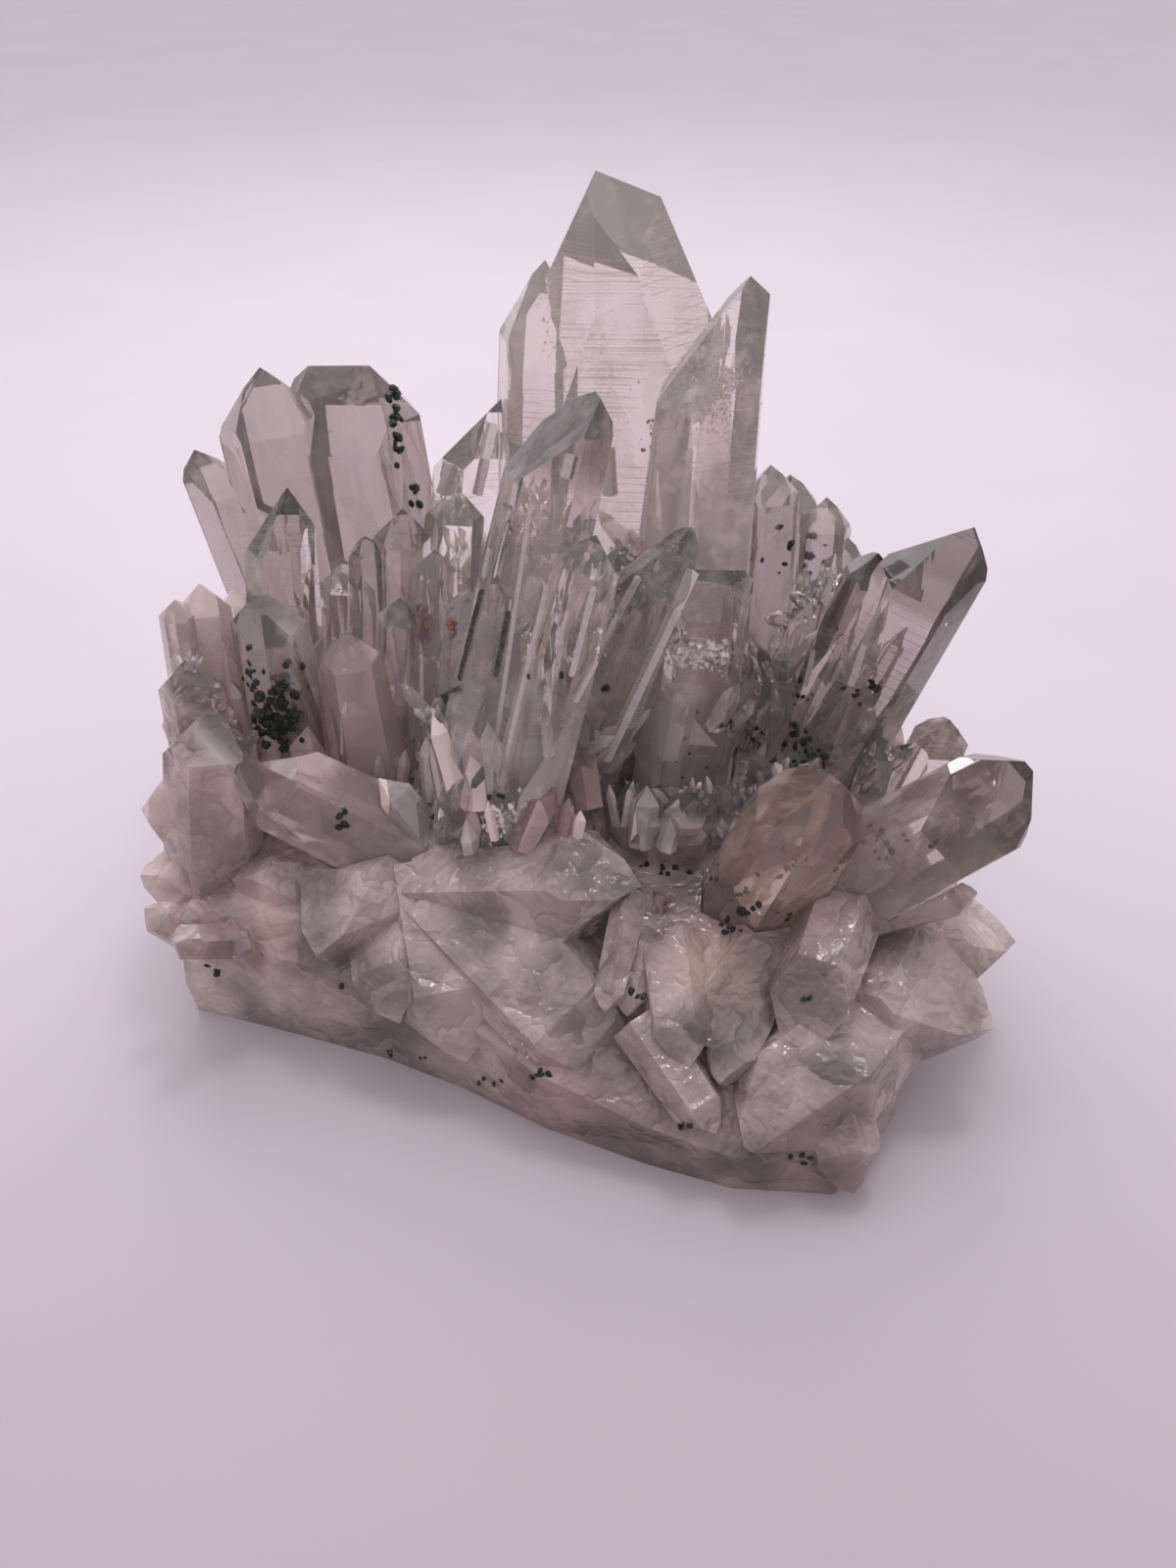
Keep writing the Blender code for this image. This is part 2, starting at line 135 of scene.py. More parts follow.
# What the wisps add to haze, as a share of the haze at the root, and to roughness
WISP_HAZE = 0.5
WISP_ROUGHNESS = 0.12

# How much of the haze shows as its own colour, and where the painted shade at a crystal's end is full, as a
# share of its reach
HAZE_SHARE = 0.9
END_SHADE_FULL = 0.8

# The narrow growth faces of the clear crystals: how many to a millimetre along X, Y and the length, how far
# their middles rise in millimetres, how strong that shows, and how far their haze differs
PANE_SCALE = (0.2, 0.2, 0.04)
PANE_RELIEF = 0.6
PANE_BUMP = 0.6
PANE_SWING = 0.8

# The front and left edges of the root mass's top, and the heights between which it gets clear, in
# millimetres: what stands outside the edges stays milky
FRONT_EDGE = -17.0
LEFT_EDGE = -37.0
TOP_HEIGHTS = (27.0, 33.0)

# How clear the root mass is, from its milkiest to its clearest places, and in its top
MILK_CLEAR = (0.30, 0.68)
TOP_CLEAR = 0.92

# The painted shade at the root mass's foot, near the floor: the heights between which it fades, in
# millimetres, and its share
FOOT_HEIGHTS = (2.0, 18.0)
FOOT_SHARE = 0.3

# The uneven breaks of the root mass: how wide they are, how far they bend and how far their middles rise, in
# millimetres, how strong that shows, and how far their colour and their clearness differ
BREAK_SIZE = 5.5
BREAK_BEND = 9.0
BREAK_RELIEF = 1.5
BREAK_BUMP = 0.8
BREAK_SWING = 0.12

# The root mass's wisps, and its stains and patches of painted shade: how strong they are, and how far out
# such a patch is full, as a share of its reach
FROST_SHARE = 0.25
STAIN_OR_SHADE_SHARE = 0.7
STAIN_OR_SHADE_CORE = 0.35


def camera_ray(column, row):
    """The place of the camera and the direction that it sees at one pixel of the picture."""
    focal = CAMERA_LENS / SENSOR_SIZE * PICTURE_HEIGHT
    seen = Vector(((column - PICTURE_WIDTH / 2) / focal, (PICTURE_HEIGHT / 2 - row) / focal, -1.0))
    tilt = Matrix.Rotation(math.radians(90.0 - CAMERA_PITCH), 3, "X")
    return Vector(CAMERA_PLACE), (tilt @ seen).normalized()


def surface_of(mesh):
    """The faces of a mesh, ready to be met by a line of sight."""
    corners = [vertex.co.copy() for vertex in mesh.vertices]
    return BVHTree.FromPolygons(corners, [list(face.vertices) for face in mesh.polygons])


SURFACES = {name: surface_of(body.data) for name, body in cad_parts.items()}


def pierce(name, column, row):
    """Where the line of sight at a pixel enters a node and where it leaves it, or None."""
    start, way = camera_ray(column, row)
    near = SURFACES[name].ray_cast(start, way)[0]
    if near is None:
        return None
    far = SURFACES[name].ray_cast(near + way * STEP_INSIDE, way)[0]
    return near, (near if far is None else far)


def first_surface(column, row):
    """The nearest node at a pixel, and the spot on it that is seen there, or None."""
    start, way = camera_ray(column, row)
    found = []
    for name, surface in SURFACES.items():
        spot, _, _, distance = surface.ray_cast(start, way)
        if spot is not None:
            found.append((distance, name, spot))
    return min(found)[1:] if found else None


def growth_direction(name, counted=24):
    """The direction in which a node's crystals grew: the mean of that many of its longest edges."""
    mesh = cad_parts[name].data
    edges = [mesh.vertices[e.vertices[0]].co - mesh.vertices[e.vertices[1]].co for e in mesh.edges]
    edges.sort(key=lambda edge: edge.length, reverse=True)
    total = Vector()
    for edge in edges[:counted]:
        total += edge if edge.z > 0 else -edge
    return total.normalized()


def fill(tree, node, inputs):
    """Fills a node's inputs by name or place: a socket is linked, and anything else is set."""
    for key, value in dict(inputs).items():
        if isinstance(value, bpy.types.NodeSocket):
            tree.links.new(value, node.inputs[key])
        else:
            node.inputs[key].default_value = value


def add(tree, kind, inputs=(), **settings):
    """Adds a node with its settings, and fills its inputs."""
    node = tree.nodes.new(kind)
    for key, value in settings.items():
        setattr(node, key, value)
    fill(tree, node, inputs)
    return node


def maths(tree, operation, first, second=0.0):
    """The result of one operation on one or two numbers."""
    return add(tree, "ShaderNodeMath", {0: first, 1: second}, operation=operation).outputs[0]


def fade(tree, value, start, end, low=0.0, high=1.0):
    """Runs smoothly from low to high as a value goes from start to end."""
    inputs = {"Value": value, "From Min": start, "From Max": end, "To Min": low, "To Max": high}
    return add(tree, "ShaderNodeMapRange", inputs, interpolation_type="SMOOTHSTEP").outputs[0]


def cloud(tree, spot, size, detail=3.0, distortion=0.0):
    """Soft noise with patches of about that many millimetres."""
    inputs = {"Vector": spot, "Scale": 1.0 / size, "Detail": detail, "Distortion": distortion}
    return add(tree, "ShaderNodeTexNoise", inputs).outputs[0]


def cells(tree, spot, scale):
    """Uneven cells: a colour for each cell, and how far a spot is from the cell's rim."""
    inputs = {"Vector": spot, "Scale": scale}
    colour = add(tree, "ShaderNodeTexVoronoi", inputs).outputs["Color"]
    rim = add(tree, "ShaderNodeTexVoronoi", inputs, feature="DISTANCE_TO_EDGE").outputs["Distance"]
    return colour, rim


def bumps(tree, height, strength):
    """Bumps as high as a value says in millimetres, at that strength."""
    inputs = {"Height": height, "Distance": 1.0 * MM, "Strength": strength}
    return add(tree, "ShaderNodeBump", inputs).outputs[0]


def blend(tree, share, first, second):
    """A colour between two others."""
    colours = [c if isinstance(c, bpy.types.NodeSocket) else (*c, 1.0) for c in (first, second)]
    return add(tree, "ShaderNodeMix", {0: share, 6: colours[0], 7: colours[1]}, data_type="RGBA").outputs[2]


def new_finish(name):
    """A material, its tree, its shader, and the place on the object in millimetres."""
    material = bpy.data.materials.new(name)
    material.use_nodes = True
    tree = material.node_tree
    place = add(tree, "ShaderNodeTexCoord").outputs["Object"]
    spot = add(tree, "ShaderNodeVectorMath", {0: place, "Scale": 1.0 / MM}, operation="SCALE").outputs[0]
    return material, tree, tree.nodes["Principled BSDF"], spot


def stain_or_shade(tree, spot, ragged, middle, reach):
    """How strongly a stained patch or a patch of painted shade shows: full at its middle, ragged, and gone at
    its reach, all in millimetres.
    """
    away = add(tree, "ShaderNodeVectorMath", {0: spot, 1: middle}, operation="DISTANCE").outputs["Value"]
    shifts = {0: ragged, 1: reach, 2: -0.5 * reach}
    shift = add(tree, "ShaderNodeMath", shifts, operation="MULTIPLY_ADD").outputs[0]
    return fade(tree, maths(tree, "ADD", away, shift), STAIN_OR_SHADE_CORE * reach, reach, low=1.0, high=0.0)


def absorb(tree, colour, density):
    """Makes the inside of a clear piece take up a little light."""
    inside = add(tree, "ShaderNodeVolumeAbsorption", {"Color": (*colour, 1.0), "Density": density})
    tree.links.new(inside.outputs[0], tree.nodes["Material Output"].inputs["Volume"])


class Clarity(NamedTuple):
    """How a node's quartz looks.

    Its tint, how cloudy it is at the root and at the tip, how strong its growth lines are, and the heights in
    millimetres between which the haze thins out. smoke is how much light the inside takes up, and panes how
    far the long narrow growth faces stand out from each other. The end is darker by end_shade, a painted
    shade on the end faces, as far as end_reach millimetres below the tip.
    """

    tint: tuple = GLASSY
    root_haze: float = 0.32
    tip_haze: float = 0.06
    lines: float = 0.6
    root_height: float = 26.0
    clear_height: float = 70.0
    smoke: float = 0.0
    panes: float = 1.0
    end_shade: float = 0.0
    end_reach: float = 10.0


def clear_quartz(name, along, look, farthest=0.0):
    """See-through quartz with growth lines across its length, narrow growth faces, and haze towards the root.

    along is the direction in which it grew, and farthest is where its tip lies that way, in millimetres.
    """
    material, tree, shader, spot = new_finish(name)
    turn = along.rotation_difference(UP).to_euler()
    upright = add(tree, "ShaderNodeMapping", {"Vector": spot, "Rotation": turn}).outputs[0]
    length = add(tree, "ShaderNodeSeparateXYZ", {0: upright}).outputs["Z"]
    height = add(tree, "ShaderNodeSeparateXYZ", {0: spot}).outputs["Z"]
    normal = add(tree, "ShaderNodeTexCoord").outputs["Normal"]
    lean = add(tree, "ShaderNodeVectorMath", {0: normal, 1: along}, operation="DOT_PRODUCT").outputs["Value"]
    on_side = fade(tree, maths(tree, "ABSOLUTE", lean), *SIDE_LEAN, low=1.0, high=0.0)

    patches = fade(tree, cloud(tree, spot, size=9.0, detail=1.0), start=0.48, end=0.6)
    lines = 0.0
    for spacing, thickness, strength in GROWTH_LINES:
        inputs = {"W": length, "Scale": 1.0 / spacing}
        edges = add(tree, "ShaderNodeTexVoronoi", inputs, voronoi_dimensions="1D", feature="DISTANCE_TO_EDGE")
        drawn = fade(tree, edges.outputs["Distance"], start=0.0, end=thickness, low=strength, high=0.0)
        lines = maths(tree, "MAXIMUM", drawn, lines)
    lines = maths(tree, "MULTIPLY", maths(tree, "MULTIPLY", lines, patches), on_side)
    lines = maths(tree, "MULTIPLY", lines, look.lines)

    narrow = add(tree, "ShaderNodeVectorMath", {0: upright, 1: PANE_SCALE}, operation="MULTIPLY").outputs[0]
    pane, rim = cells(tree, narrow, 1.0)
    swing = PANE_SWING * look.panes
    relief = maths(tree, "MULTIPLY", rim, PANE_RELIEF * look.panes)

    wisps = fade(tree, cloud(tree, spot, size=4.0, detail=2.0), start=0.52, end=0.75)
    haze = fade(tree, height, look.root_height, look.clear_height, look.root_haze, look.tip_haze)
    haze = maths(tree, "MULTIPLY", haze, fade(tree, pane, 0.2, 0.8, low=1.0 - swing, high=1.0 + swing))
    haze = maths(tree, "ADD", haze, maths(tree, "MULTIPLY", wisps, WISP_HAZE * look.root_haze))
    haze = maths(tree, "ADD", haze, maths(tree, "MULTIPLY", lines, LINE_HAZE))
    shade = blend(tree, lines, look.tint, [LINE_SHADE * c for c in look.tint])
    shade = blend(tree, maths(tree, "MULTIPLY", haze, HAZE_SHARE), shade, HAZE)
    # A painted shade on the end faces, darker towards the tip
    if look.end_shade:
        start, end = farthest - look.end_reach, farthest - END_SHADE_FULL * look.end_reach
        shade = blend(tree, fade(tree, length, start, end, high=look.end_shade), shade, PAINTED_END_SHADE)
    rough = maths(tree, "MULTIPLY", wisps, WISP_ROUGHNESS)
    rough = maths(tree, "ADD", rough, maths(tree, "MULTIPLY", lines, LINE_ROUGHNESS))
    fill(tree, shader, {
        "Base Color": shade,
        "Roughness": rough,
        "Transmission Weight": maths(tree, "SUBTRACT", 1.0, haze),
        "Normal": bumps(tree, relief, PANE_BUMP),
        "IOR": QUARTZ_IOR,
    })
    if look.smoke:
        absorb(tree, SMOKE, look.smoke)
    return material


def milky_quartz():
    """The root mass: cloudy quartz that light gets into, clearer in the points that stand out of its top."""
    material, tree, shader, spot = new_finish("milky_quartz")
    parts = add(tree, "ShaderNodeSeparateXYZ", {0: spot}).outputs
    outside = maths(tree, "SUBTRACT", FRONT_EDGE, parts["Y"])
    outside = maths(tree, "MAXIMUM", outside, maths(tree, "SUBTRACT", LEFT_EDGE, parts["X"]))
    outside = maths(tree, "MAXIMUM", outside, 0.0)
    top = fade(tree, maths(tree, "SUBTRACT", parts["Z"], outside), *TOP_HEIGHTS)
    broad = fade(tree, cloud(tree, spot, size=18.0, detail=1.0), start=0.35, end=0.65)
    wisps = fade(tree, cloud(tree, spot, size=6.0, distortion=3.0), start=0.48, end=0.72)
    ragged = cloud(tree, spot, size=5.0)
    bends = {0: ragged.node.outputs["Color"], 1: (BREAK_BEND,) * 3, 2: spot}
    bent = add(tree, "ShaderNodeVectorMath", bends, operation="MULTIPLY_ADD").outputs[0]
    piece, rim = cells(tree, bent, 1.0 / BREAK_SIZE)
    shard = maths(tree, "MULTIPLY", fade(tree, piece, start=0.25, end=0.75), BREAK_SWING)
    relief = maths(tree, "MULTIPLY", rim, fade(tree, top, 0.0, 0.6, low=BREAK_RELIEF, high=0.0))

    colour = blend(tree, broad, MILK, MILK_SHADE)
    colour = blend(tree, maths(tree, "MULTIPLY", wisps, FROST_SHARE), colour, FROST)
    colour = blend(tree, shard, colour, MILK_BRIGHT)
    # A painted shade at the foot of the root mass, near the floor
    colour = blend(tree, fade(tree, parts["Z"], *FOOT_HEIGHTS, low=FOOT_SHARE, high=0.0), colour, FOOT_SHADE)
    # Real stains, and patches of painted shade
    for middle, reach, paint in STAINS_AND_SHADE:
        share = maths(tree, "MULTIPLY", stain_or_shade(tree, spot, ragged, middle, reach), STAIN_OR_SHADE_SHARE)
        colour = blend(tree, share, colour, paint)
    clear = fade(tree, cloud(tree, spot, size=12.0, detail=2.0), 0.35, 0.65, *MILK_CLEAR)
    clear = maths(tree, "SUBTRACT", clear, shard)
    rough = fade(tree, ragged, start=0.3, end=0.7, low=0.05, high=0.25)
    smooth_top = fade(tree, top, start=0.0, end=1.0, low=1.0, high=0.15)
    fill(tree, shader, {
        "Base Color": blend(tree, top, colour, GLASSY),
        "Roughness": maths(tree, "MULTIPLY", rough, smooth_top),
        "Transmission Weight": maths(tree, "MAXIMUM", clear, maths(tree, "MULTIPLY", top, TOP_CLEAR)),
        "Normal": bumps(tree, relief, BREAK_BUMP),
        "IOR": QUARTZ_IOR,
        "Subsurface Weight": 0.25,
        "Subsurface Radius": (1.0, 0.85, 0.85),
        "Subsurface Scale": 4.0 * MM,
    })
    return material


def grain_finish(name, colour, other, roughness, see_through=0.0, mirror=0.0):
    """A grain or flake, some of them painted glints, or a narrow strip of painted highlight or painted
    shadow, speckled between two colours, and mirror-like where a crack is.
    """
    material, tree, shader, spot = new_finish(name)
    speckles = fade(tree, cloud(tree, spot, size=0.8), start=0.35, end=0.65)
    grit = fade(tree, cloud(tree, spot, size=0.4), start=0.3, end=0.7, low=0.7 * roughness, high=roughness)
    fill(tree, shader, {
        "Base Color": blend(tree, speckles, colour, other),
        "Roughness": grit,
        "Transmission Weight": see_through,
        "Metallic": mirror,
    })
    return material


# Coloured stains in the root mass, and patches of painted shade in a hollow, on the end of one crystal and
# low at its front: where, how far they reach, and what colour
STAINS_AND_SHADE = [
    ((-50.0, -22.0, 18.0), 14.0, PEACH),
    ((-40.0, -28.0, 12.0), 12.0, TAN),
    ((20.0, -40.0, 26.0), 12.0, TAN),
    ((-6.0, -52.0, 6.0), 14.0, PINK),
    # Painted shade in a hollow, on the end of a crystal, and low at the front
    ((16.0, -30.0, 30.0), 9.0, PAINTED_SHADE),
    ((31.0, -45.0, 24.0), 8.0, PAINTED_END_SHADE),
    ((8.0, -52.0, 6.0), 17.0, PAINTED_SHADE),
    ((30.0, -57.0, 6.0), 16.0, PAINTED_SHADE),
    ((-60.0, -12.0, 28.0), 30.0, PALE),
    ((-60.0, -28.0, 12.0), 20.0, PALE),
]

# How each node differs from plain clear quartz
LOOKS = {
    "tallest_points": Clarity(GLASSY, 0.2, 0.24, 0.9, 28.0, 100.0, panes=0.2),
    "right_tall_point": Clarity(GLASSY, 0.66, 0.10, 0.8, 28.0, 100.0, panes=0.4),
    "tan_point": Clarity((0.77, 0.65, 0.56), 0.30, 0.10, 0.3, 24.0, 50.0, panes=0.6),
    "speckled_point": Clarity((0.80, 0.75, 0.72), 0.45, 0.12, 0.3),
    "peach_point": Clarity((0.86, 0.76, 0.70), 0.36, 0.14, 0.3, panes=0.6),
    "lying_point": Clarity((0.88, 0.77, 0.72), 0.30, 0.16, 0.3, 24.0, 34.0, panes=0.6),
    "back_left_points": Clarity((0.54, 0.49, 0.48), 0.28, 0.15, 0.2, 26.0, 75.0, panes=0.6),
    "back_right_points": Clarity((0.50, 0.46, 0.45), 0.34, 0.18, 0.2, 26.0, 60.0),
    "left_rim_points": Clarity((0.93, 0.86, 0.84), 0.75, 0.5, 0.3, 30.0, 60.0, panes=0.6),
    "right_leaning_points": Clarity(
        GLASSY, 0.3, 0.08, 0.9, 28.0, 60.0, smoke=60.0, panes=0.5, end_shade=0.75, end_reach=13.0
    ),
    "right_low_point": Clarity(
        (0.72, 0.655, 0.63), 0.36, 0.16, 0.5, 24.0, 40.0, panes=0.6, end_shade=0.6, end_reach=9.0
    ),
    "small_right_point": Clarity((0.88, 0.82, 0.80), 0.3, 0.03, 0.4, 24.0, 34.0),
    "capped_points": Clarity(panes=0.8, end_shade=0.65, end_reach=12.0),
}

# The nodes that carry slim crystals on their lower sides
SHOOT_HOSTS = [
    "capped_points", "centre_long_point", "slanted_point", "broad_point", "right_tall_point", "window_points",
    "left_upright_point", "speckled_point", "peach_point", "right_leaning_points", "tallest_points",
]


class Clot(NamedTuple):
    """Small bodies seen around one pixel.

    How many pixels they spread across and down, how many they are, how wide in millimetres, and how deep: 0
    is on the near surface of the quartz seen there, and 1 on its far surface.
    """

    pixel: tuple
    spread: tuple
    count: int
    widths: tuple
    depth: tuple = (0.0, 0.0)


DARK_CLOTS = [
    Clot((283, 728), (22, 32), 170, (0.9, 2.6), (0.0, 0.12)),
    Clot((258, 690), (8, 16), 24, (0.5, 1.5), (0.0, 0.1)),
    Clot((292, 690), (12, 8), 12, (0.5, 1.2), (0.05, 0.5)),
    Clot((895, 700), (6, 5), 7, (1.0, 1.6)),
    Clot((874, 710), (6, 7), 5, (0.7, 1.1)),
    Clot((860, 702), (4, 3), 2, (0.8, 1.1)),
    Clot((403, 400), (5, 8), 9, (1.0, 2.2)),
    Clot((405, 440), (6, 26), 14, (0.9, 2.0)),
    Clot((424, 505), (5, 12), 5, (1.2, 2.2)),
    Clot((815, 565), (28, 28), 16, (0.7, 1.8), (0.0, 0.3)),
    Clot((823, 765), (24, 20), 90, (0.8, 2.2), (0.0, 0.1)),
    Clot((812, 722), (22, 24), 30, (0.5, 1.5), (0.0, 0.1)),
    Clot((765, 752), (18, 12), 16, (0.6, 1.4), (0.0, 0.1)),
    Clot((742, 737), (5, 8), 5, (0.8, 1.4)),
    Clot((690, 745), (38, 36), 16, (0.4, 1.2), (0.1, 0.7)),
    Clot((455, 840), (14, 12), 8, (0.7, 1.4)),
    Clot((508, 812), (12, 8), 6, (0.7, 1.3)),
    Clot((541, 690), (2, 2), 1, (1.1, 1.3)),
    Clot((573, 690), (3, 3), 2, (0.8, 1.1)),
    Clot((615, 706), (6, 4), 3, (0.9, 1.3)),
    Clot((349, 836), (6, 9), 6, (1.0, 1.6)),
    Clot((682, 886), (26, 7), 12, (0.6, 1.5)),
    Clot((758, 930), (18, 6), 8, (0.8, 1.5)),
    Clot((745, 948), (14, 4), 7, (0.7, 1.3)),
    Clot((800, 930), (8, 5), 4, (0.6, 1.2)),
    Clot((742, 905), (30, 18), 16, (0.6, 1.5), (0.0, 0.2)),
    Clot((650, 1013), (14, 7), 6, (0.7, 1.4)),
    Clot((217, 991), (8, 6), 5, (0.8, 1.8)),
    Clot((350, 1005), (6, 4), 3, (0.6, 1.2)),
    Clot((395, 1072), (6, 4), 3, (0.6, 1.3)),
    Clot((430, 1078), (4, 3), 2, (0.6, 1.0)),
    Clot((497, 1103), (18, 5), 6, (0.6, 1.3)),
    Clot((556, 1097), (12, 3), 9, (0.8, 1.4)),
    Clot((702, 1147), (7, 4), 4, (0.6, 1.3)),
    Clot((818, 1184), (12, 5), 5, (0.6, 1.3)),
    Clot((801, 1013), (3, 5), 3, (1.2, 1.8), (0.02, 0.08)),
    Clot((823, 1018), (4, 4), 3, (1.0, 1.6), (0.02, 0.08)),
    Clot((849, 1026), (3, 5), 3, (1.2, 1.8), (0.02, 0.08)),
    Clot((985, 770), (16, 4), 5, (0.4, 0.9)),
    Clot((915, 860), (34, 16), 9, (0.6, 1.4), (0.1, 0.5)),
]

RUST_CLOTS = [
    Clot((665, 430), (3, 6), 5, (0.6, 1.2), (0.1, 0.3)),
    Clot((660, 455), (4, 4), 4, (0.6, 1.1), (0.1, 0.3)),
    Clot((516, 515), (4, 6), 5, (0.6, 1.4), (0.1, 0.3)),
    Clot((521, 532), (4, 6), 5, (0.6, 1.4), (0.1, 0.3)),
    Clot((858, 658), (8, 16), 12, (0.5, 1.4), (0.0, 0.3)),
    Clot((676, 910), (30, 12), 14, (0.5, 1.6), (0.1, 0.4)),
]

AMBER_CLOTS = [
    Clot((432, 640), (5, 17), 40, (0.9, 2.2), (0.02, 0.2)),
    Clot((461, 640), (3, 12), 14, (0.7, 1.5), (0.02, 0.2)),
    Clot((828, 865), (26, 26), 22, (0.8, 2.2), (0.3, 0.8)),
]

# White flakes: real fractures inside the quartz, and painted glints on its surface
FRACTURE_AND_GLINT_CLOTS = [
    Clot((711, 666), (28, 11), 260, (0.6, 2.6), (0.0, 0.04)),
    Clot((690, 652), (14, 11), 70, (0.5, 2.0), (0.0, 0.04)),
    Clot((735, 678), (8, 12), 30, (0.3, 1.3), (0.0, 0.05)),
    Clot((450, 678), (7, 7), 30, (0.4, 1.2), (0.0, 0.05)),
    Clot((540, 666), (7, 10), 30, (0.4, 1.2), (0.0, 0.05)),
    Clot((610, 655), (4, 10), 16, (0.4, 1.2), (0.0, 0.1)),
    Clot((581, 668), (4, 10), 12, (0.3, 0.9), (0.0, 0.1)),
    Clot((618, 645), (9, 26), 22, (0.3, 0.8), (0.0, 0.4)),
    Clot((430, 655), (9, 12), 14, (0.3, 0.8), (0.1, 0.5)),
    Clot((500, 838), (40, 14), 220, (0.5, 1.8), (0.0, 0.02)),
    Clot((455, 848), (26, 10), 90, (0.5, 1.6), (0.0, 0.02)),
    Clot((665, 940), (28, 8), 60, (0.3, 1.2), (0.0, 0.04)),
    Clot((650, 845), (40, 20), 50, (0.3, 0.9), (0.0, 0.04)),
    Clot((922, 1008), (22, 14), 46, (0.3, 1.2), (0.0, 0.03)),
    Clot((880, 1035), (30, 14), 26, (0.3, 1.0), (0.0, 0.03)),
    Clot((230, 925), (20, 16), 18, (0.3, 0.9), (0.0, 0.03)),
    Clot((283, 883), (10, 6), 16, (0.3, 0.9), (0.0, 0.02)),
    Clot((418, 800), (16, 12), 16, (0.3, 0.8), (0.0, 0.02)),
    Clot((535, 1065), (14, 14), 24, (0.3, 1.1), (0.0, 0.02)),
    Clot((700, 1050), (30, 24), 20, (0.3, 0.8), (0.0, 0.02)),
    Clot((560, 320), (10, 50), 26, (0.3, 0.9), (0.1, 0.6)),
    Clot((640, 430), (24, 50), 40, (0.2, 0.6), (0.0, 0.3)),
]

# The speckled growth stage inside the second tallest crystal
PHANTOM_CLOTS = [
    Clot((728, 398), (36, 40), 620, (0.18, 0.55), (0.10, 0.16)),
    Clot((700, 370), (16, 20), 120, (0.18, 0.5), (0.10, 0.16)),
    Clot((620, 390), (26, 70), 260, (0.12, 0.36), (0.03, 0.10)),
]


class Sprout(NamedTuple):
    """A small crystal at the foot of the large ones.

    The pixels of its foot and its tip, its width, and how far its tip leans towards the camera, the last two
    in millimetres.
    """

    foot: tuple
    tip: tuple
    width: float
    lean: float = 2.0


CLEAR_SPROUTS = [
    Sprout((462, 792), (440, 722), 3.3),
    Sprout((488, 808), (483, 733), 3.9),
    Sprout((432, 846), (386, 790), 5.8, 4.0),
    Sprout((470, 828), (463, 795), 2.0),
    Sprout((486, 852), (478, 815), 2.8),
    Sprout((505, 848), (497, 816), 2.2),
    Sprout((521, 848), (517, 812), 1.9),
    Sprout((450, 848), (450, 822), 1.9),
    Sprout((588, 850), (594, 826), 2.2),
    Sprout((536, 832), (545, 796), 1.6),
    Sprout((655, 850), (662, 800), 4.6, 3.0),
    Sprout((682, 856), (694, 814), 3.4, 3.0),
    Sprout((640, 834), (646, 794), 1.8),
    Sprout((628, 834), (620, 798), 1.8),
    Sprout((560, 760), (556, 712), 1.8),
    Sprout((420, 780), (408, 735), 2.4),
]

ROSY_SPROUTS = [
    Sprout((597, 804), (586, 722), 5.4),
    Sprout((538, 850), (567, 801), 4.8, 4.0),
    Sprout((612, 848), (606, 812), 3.0),
    Sprout((575, 846), (580, 812), 2.6),
]


class Strip(NamedTuple):
    """A narrow strip of painted highlight or painted shadow on a large crystal: the pixels of its two ends,
    and its width in millimetres.
    """

    top: tuple
    foot: tuple
    width: float


# Painted highlights along the faces of large crystals
HIGHLIGHT_STRIPS = [
    Strip((707, 582), (617, 776), 1.9),
    Strip((674, 546), (586, 716), 1.0),
    Strip((618, 553), (583, 690), 0.8),
    Strip((570, 557), (512, 800), 1.2),
    Strip((541, 516), (500, 800), 0.6),
    Strip((670, 430), (657, 556), 0.9),
    Strip((620, 456), (623, 506), 2.2),
    Strip((584, 464), (578, 488), 1.6),
    Strip((503, 432), (487, 505), 1.6),
    Strip((462, 474), (452, 505), 2.2),
    Strip((500, 560), (494, 590), 0.8),
    Strip((399, 640), (418, 770), 0.8),
    Strip((352, 640), (350, 770), 0.8),
    Strip((905, 590), (868, 700), 1.0),
    Strip((848, 590), (822, 700), 0.8),
]

# Painted shadows between crystals
SHADOW_STRIPS = [
    Strip((493, 602), (470, 694), 1.1),
    Strip((519, 624), (506, 690), 0.8),
    Strip((472, 704), (448, 716), 1.6),
]


def put_in_scene(name, data):
    """A new object in the scene that holds a mesh, a light or a camera."""
    body = bpy.data.objects.new(name, data)
    bpy.context.scene.collection.objects.link(body)
    return body


def shape_object(name, vertices, faces):
    """A new object in the scene, made of vertices and faces."""
    mesh = bpy.data.meshes.new(name)
    mesh.from_pydata(vertices, [], faces)
    return put_in_scene(name, mesh)


def grain_shape(seed=2, lumps=(0.8, 1.1)):
    """A lumpy grain about one unit wide."""
    bm = bmesh.new()
    bmesh.ops.create_uvsphere(bm, u_segments=6, v_segments=5, radius=0.5)
    dice = random.Random(seed)
    for vertex in bm.verts:
        vertex.co *= dice.uniform(*lumps)
    mesh = bpy.data.meshes.new("grain_shape")
    bm.to_mesh(mesh)
    bm.free()
    return put_in_scene("grain_shape", mesh)


